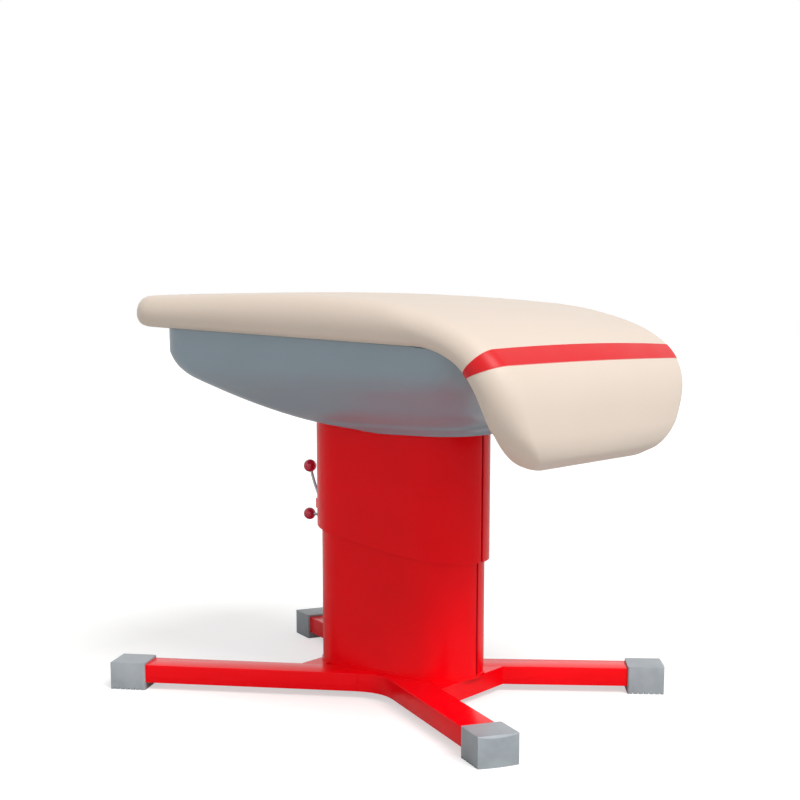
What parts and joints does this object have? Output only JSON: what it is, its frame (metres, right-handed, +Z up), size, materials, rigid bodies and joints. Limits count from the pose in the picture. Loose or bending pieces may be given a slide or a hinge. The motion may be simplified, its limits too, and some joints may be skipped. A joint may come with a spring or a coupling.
{
  "type": "vaulting table",
  "caption": "Gymnastics vaulting table: padded top whose front curves down, grey hull below it, on a red height-adjustable column and a splayed base with rubber shoes.",
  "frame": {"origin": "on the floor, straight below the column's axis", "axes": "+X towards the hanging front of the pad, +Y to the far side, +Z up; the levers are on the column's rear, towards -X"},
  "size_m": [1.3369, 0.9528, 1.0841],
  "materials": {
    "red_powder_coat": "satin",
    "seam_red": "satin",
    "grey_rubber": "matte",
    "black_rubber": "matte",
    "zinc_steel": "satin",
    "bright_steel": "satin",
    "chrome_rod": "polished",
    "black_steel": "satin",
    "white_nylon": "matte",
    "crimson_ball": "gloss",
    "plywood": "satin",
    "hull_grey": "satin",
    "firm_foam": "matte",
    "soft_foam": "matte",
    "tan_cover": "matte",
    "red_stripe": "matte"
  },
  "bodies": {
    "base": {"near_rear_leg": "red_powder_coat", "far_rear_leg": "red_powder_coat", "near_front_leg": "red_powder_coat", "far_front_leg": "red_powder_coat", "front_crossbar": "red_powder_coat", "rear_crossbar": "red_powder_coat", "corner_gussets": "red_powder_coat", "near_rear_shoe": "grey_rubber", "far_rear_shoe": "grey_rubber", "near_front_shoe": "grey_rubber", "far_front_shoe": "grey_rubber", "column_flange": "red_powder_coat", "flange_bolts": "zinc_steel", "inner_column_near_half": "red_powder_coat", "inner_column_far_half": "red_powder_coat", "inner_front_strip": "seam_red", "index_rail": "zinc_steel", "upper_guide_pads": "white_nylon", "gas_spring_cylinder": "black_steel", "gas_spring_gland": "bright_steel", "lower_spring_bracket": "zinc_steel", "lower_spring_pin": "zinc_steel"},
    "head": {"outer_column_near_half": "red_powder_coat", "outer_column_far_half": "red_powder_coat", "lever_ears": "red_powder_coat", "outer_front_strip": "seam_red", "rubber_dampers": "black_rubber", "upper_spring_bracket": "zinc_steel", "upper_spring_pin": "zinc_steel", "lock_plate": "zinc_steel", "head_bolts": "zinc_steel", "insert_nuts": "zinc_steel", "hull_screws": "zinc_steel", "hull_brackets": "zinc_steel", "lever_pivot_pin": "zinc_steel", "plunger_housing": "bright_steel", "plunger_spring": "bright_steel", "gas_spring_piston": "bright_steel", "gas_spring_rod": "chrome_rod", "head_plate": "black_steel", "near_side_rail": "black_steel", "far_side_rail": "black_steel", "front_cross_rail": "black_steel", "rear_cross_rail": "black_steel", "lower_guide_pads": "white_nylon", "top_board": "plywood", "hull_near_half": "hull_grey", "hull_far_half": "hull_grey", "firm_foam_layer": "firm_foam", "soft_foam_body": "soft_foam", "pad_cover": "tan_cover", "stripe_band": "red_stripe"},
    "plunger": {"index_pin": "bright_steel", "plunger_knob": "crimson_ball"},
    "clamp_lever": {"lever_cam": "bright_steel", "lever_rod": "bright_steel", "lever_knob": "crimson_ball"},
    "brake": {"brake_shoe": "bright_steel"}
  },
  "joints": [
    {"name": "height_slide", "type": "slide", "parent": "base", "child": "head", "axis": [0, 0, 1], "range_m": [-0.075, 0.275]},
    {"name": "plunger_pull", "type": "slide", "parent": "head", "child": "plunger", "axis": [1, 0, 0], "range_m": [0, 0.014]},
    {"name": "clamp_lever_swing", "type": "hinge", "parent": "head", "child": "clamp_lever", "pos_m": [-0.2795, 0, 0.5], "axis": [0, -1, 0], "range_deg": [0, 50]},
    {"name": "brake_shoe_slide", "type": "slide", "parent": "head", "child": "brake", "axis": [-1, 0, 0], "range_m": [0, 0.0009]}
  ],
  "couplings": [
    {"joint": "brake_shoe_slide", "follows": "clamp_lever_swing", "m_per_rad": 0.00103}
  ]
}
